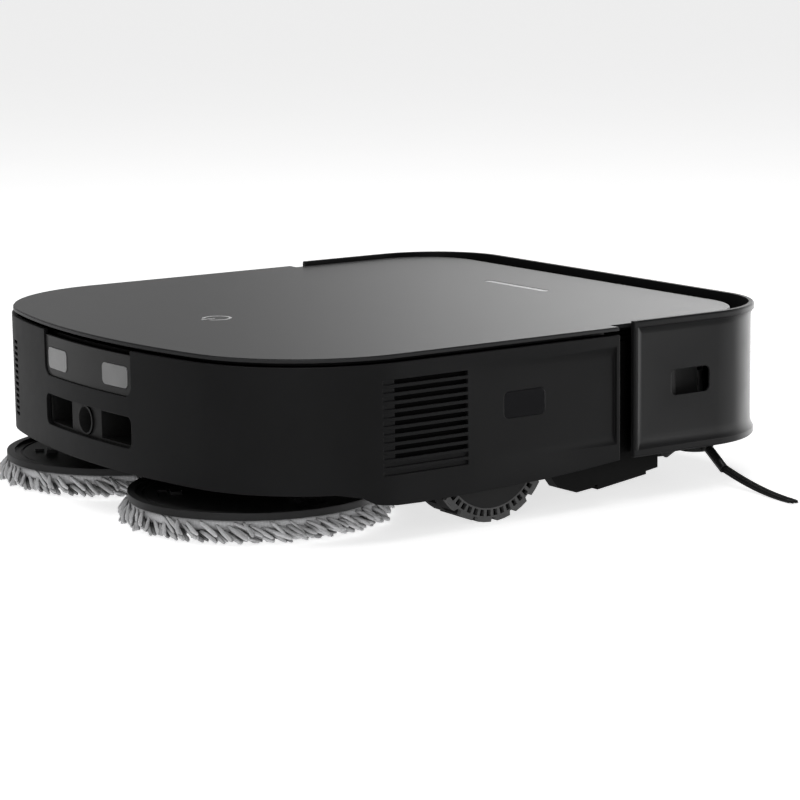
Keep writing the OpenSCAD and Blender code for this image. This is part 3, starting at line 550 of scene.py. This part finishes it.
def mop_pads():
    """Both pads: the same backing and strands, each on its own axis."""
    path, radii, tone = strand_mesh()
    strand_verts, strand_faces, strand_of = tubes(path * MM, radii * MM, sides=8)
    verts, faces = backing_shell()
    left = mesh_object("mop_backing_left", verts * MM, faces, materials["mop_backing"])
    fix_normals(left)
    puff(left, 0.8)
    right = bpy.data.objects.new("mop_backing_right", left.data.copy())
    scene.collection.objects.link(right)
    for side, backing in (("left", left), ("right", right)):
        low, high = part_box("mop_pad_" + side)
        strands = mesh_object("mop_strands_" + side, strand_verts, strand_faces, materials["mop_microfibre"],
                              tone=tone[strand_of])
        fix_normals(strands)
        for piece in (strands, backing):
            piece.location = ((low.x + high.x) / 2, (low.y + high.y) / 2, 0)
            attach(piece, "mop_" + side)
        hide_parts("mop_pad_" + side)


# ------------------------------------------------------------------ side brush bristles
FILAMENTS, POINTS = 130, 18
BUNDLE_START, BUNDLE_LENGTH = 26.0, 62      # from the hub's axis to the sleeve's mouth, and on from there, mm
FIRST_BUNDLE = -93                          # direction of the first bundle, degrees


def bristles(index, angle, hub):
    """One flat bundle of filaments: out of the sleeve's mouth, bending over onto the floor, cut square."""
    u = np.linspace(0, 1, POINTS)[None]
    spread = rng.uniform(-1, 1, (FILAMENTS, 2))
    length = BUNDLE_LENGTH * rng.uniform(0.955, 1.0, FILAMENTS)[:, None]
    out = BUNDLE_START + length * u
    across = spread[:, :1] * (1.5 + 1.1 * u) - 1.5 * np.sin(u * np.pi / 2) ** 2
    drop = 0.9 + 7.4 * (1 - u) ** 2.1
    high = np.maximum(drop + spread[:, 1:] * (1.6 - 1.0 * u), 0.3)
    radius = np.full((FILAMENTS, POINTS), 0.24)
    radius[:, -1] = 0.16
    path = np.stack([out, across, high], axis=-1)
    turn = np.array(Matrix.Rotation(angle, 3, "Z"))
    path = path @ turn.T + np.array([hub.x / MM, hub.y / MM, 0])
    verts, faces, _ = tubes(path * MM, radius * MM, sides=5)
    obj = mesh_object(f"side_brush_bundle_{index}", verts, faces, materials["bristle_nylon"])
    fix_normals(obj)
    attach(obj, "side_brush")
    return obj


def side_brush():
    """Two opposite bundles round the brush's own joint."""
    joint = next(j for j in frame["joints"] if j["name"] == "side_brush_spin")
    hub = Vector(joint["pos_m"])
    bundles = [bristles(i, math.radians(FIRST_BUNDLE + 180 * i), hub) for i in (0, 1)]
    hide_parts("side_brush_bristles")


# ------------------------------------------------------------------ bumper springs
def bumper_springs():
    """The CAD's coils as a piece of their own, with a mesh of its own, on the chassis."""
    coils = bpy.data.objects.new("bumper_spring_coils", nodes["bumper_springs"].data.copy())
    scene.collection.objects.link(coils)
    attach(coils, "chassis")
    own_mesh(coils)
    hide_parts("bumper_springs")


mop_pads()
side_brush()
bumper_springs()


# ------------------------------------------------------------------ floor, light, camera
# the studio room that the object's surfaces see
ROOM_LOW, ROOM_HIGH = 0.107, 0.092      # strength below and above the horizon
FAR_SIDE, ROOM_FAR = 78, 3.0            # direction of the brighter side, degrees, and how much brighter it is
GLOW_SIDE, GLOW = 20, 2.15              # direction and strength of a lit wall beyond the front right corner
GLOW_FULL, GLOW_NONE = 21, 41           # how far off its direction the lit wall starts and has faded, degrees
HORIZON = 1.7                           # how much brighter all of it is at the horizon and below
FLOOR_GLOW, FLOOR_HALF = 0.72, 60.0     # the floor's own light, and half its side in metres


def world():
    """White to the camera, a grey room with one bright side to everything else."""
    w = bpy.data.worlds.new("studio")
    scene.world = w
    w.use_nodes = True
    add, link = builder(w.node_tree)

    def level(source, out, *limits):
        n = map_range(add, *limits, interpolation_type="SMOOTHSTEP")
        link(source, out, n, "Value")
        return n

    def maths(kind, a, b):
        n = add("ShaderNodeMath", operation=kind)
        link(a, 0, n, 0)
        link(b, 0, n, 1)
        return n

    def toward(degrees):
        n = add("ShaderNodeVectorMath", operation="DOT_PRODUCT")
        n.inputs[1].default_value = (math.cos(math.radians(degrees)), math.sin(math.radians(degrees)), 0.0)
        link(co, "Generated", n, 0)
        return n

    co = add("ShaderNodeTexCoord")
    split = add("ShaderNodeSeparateXYZ")
    link(co, "Generated", split, 0)
    base = maths("MULTIPLY", level(split, "Z", -0.12, 0.12, ROOM_LOW, ROOM_HIGH),
                 level(toward(FAR_SIDE), "Value", 0.53, 0.93, 1.0, ROOM_FAR))
    glow = level(toward(GLOW_SIDE), "Value", math.cos(math.radians(GLOW_NONE)),
                 math.cos(math.radians(GLOW_FULL)), 0.0, GLOW)
    glow = maths("MULTIPLY", glow, level(split, "Z", 0.7, 0.3, 0.0, 1.0))
    glow = maths("MULTIPLY", glow, level(split, "Z", -0.5, -0.15, 0.31, 0.77))
    strength = maths("MULTIPLY", maths("ADD", base, glow), level(split, "Z", 0.20, 0.15, 1.0, HORIZON))
    lit = add("ShaderNodeBackground")
    link(strength, 0, lit, "Strength")
    seen = add("ShaderNodeBackground", Color=(1, 1, 1, 1))
    path = add("ShaderNodeLightPath")
    mix = add("ShaderNodeMixShader")
    out = add("ShaderNodeOutputWorld")
    link(path, "Is Camera Ray", mix, 0)
    link(lit, 0, mix, 1)
    link(seen, 0, mix, 2)
    link(mix, 0, out, "Surface")


def area(name, place, target, width, power, height=None):
    """An area lamp in metres and watts, square unless a height is given."""
    lamp = bpy.data.lights.new(name, "AREA")
    lamp.energy = power
    lamp.size = width
    if height:
        lamp.shape, lamp.size_y = "RECTANGLE", height
    obj = bpy.data.objects.new(name, lamp)
    scene.collection.objects.link(obj)
    obj.location = place
    obj.visible_camera = False
    obj.rotation_euler = (Vector(target) - Vector(place)).to_track_quat("-Z", "Y").to_euler()


def floor():
    """A plain pale floor that shows a soft shade under the object and isn't seen in its reflections."""
    m, add, link = tree("floor_paint")
    out = add("ShaderNodeOutputMaterial")
    bsdf = add("ShaderNodeBsdfPrincipled", Roughness=0.9)
    bsdf.inputs["Specular IOR Level"].default_value = 0.0
    bsdf.inputs["Emission Color"].default_value = (1, 1, 1, 1)
    bsdf.inputs["Emission Strength"].default_value = FLOOR_GLOW
    co = add("ShaderNodeTexCoord")
    noise = add("ShaderNodeTexNoise", Scale=6.0, Detail=4.0)
    link(co, "Object", noise, "Vector")
    tone = ramp(add, [(0.3, 0.93), (0.7, 0.96)])
    link(noise, "Fac", tone, "Fac")
    link(tone, "Color", bsdf, "Base Color")
    # seen from below, the floor lets the view through to the underside
    geo = add("ShaderNodeNewGeometry")
    clear = add("ShaderNodeBsdfTransparent")
    sides = add("ShaderNodeMixShader")
    link(geo, "Backfacing", sides, 0)
    link(bsdf, "BSDF", sides, 1)
    link(clear, "BSDF", sides, 2)
    link(sides, "Shader", out, "Surface")
    s = FLOOR_HALF
    corners = [(-s, -s, 0), (s, -s, 0), (s, s, 0), (-s, s, 0)]
    obj = mesh_object("floor", corners, [(0, 1, 2, 3)], m, smooth=False)
    obj.location.z = -0.2 * MM
    obj.visible_glossy = obj.visible_shadow = False


CAMERA_AT = Vector((-0.82029, -1.24799, 0.30507))
CAMERA_TURN, CAMERA_HEIGHT, CAMERA_ROLL = -34.1, 10.13, -0.74     # degrees
LENS, SENSOR = 123.53, 36                                         # mm


def camera():
    """The photograph's viewing angle: from the rear right, a little above."""
    a, e, roll = (math.radians(x) for x in (CAMERA_TURN, CAMERA_HEIGHT, CAMERA_ROLL))
    back = Vector((math.sin(a) * math.cos(e), -math.cos(a) * math.cos(e), math.sin(e)))
    x = Vector((0, 0, 1)).cross(back).normalized()
    y = back.cross(x)
    x, y = x * math.cos(roll) + y * math.sin(roll), y * math.cos(roll) - x * math.sin(roll)
    data = bpy.data.cameras.new("camera")
    data.sensor_width = SENSOR
    data.lens = LENS
    data.clip_start, data.clip_end = 0.05, 200
    obj = bpy.data.objects.new("camera", data)
    scene.collection.objects.link(obj)
    obj.matrix_world = Matrix.Translation(CAMERA_AT) @ Matrix((x, y, back)).transposed().to_4x4()
    scene.camera = obj


scene.view_settings.view_transform = "Standard"
world()
floor()
camera()
area("top_soft", (-0.1, 0.1, 1.6), (0, 0, 0), 1.8, 14)
area("front_right", (1.5, -1.25, 0.15), (0.1, -0.1, 0.05), 0.9, 3, 0.9)
area("fill_camera", (-1.5, -1.6, 1.1), (0, 0, 0.05), 1.4, 7)
area("far_low", (0.88, 0.84, 0.05), (0.08, 0.1, 0.09), 0.45, 0.35, 0.14)
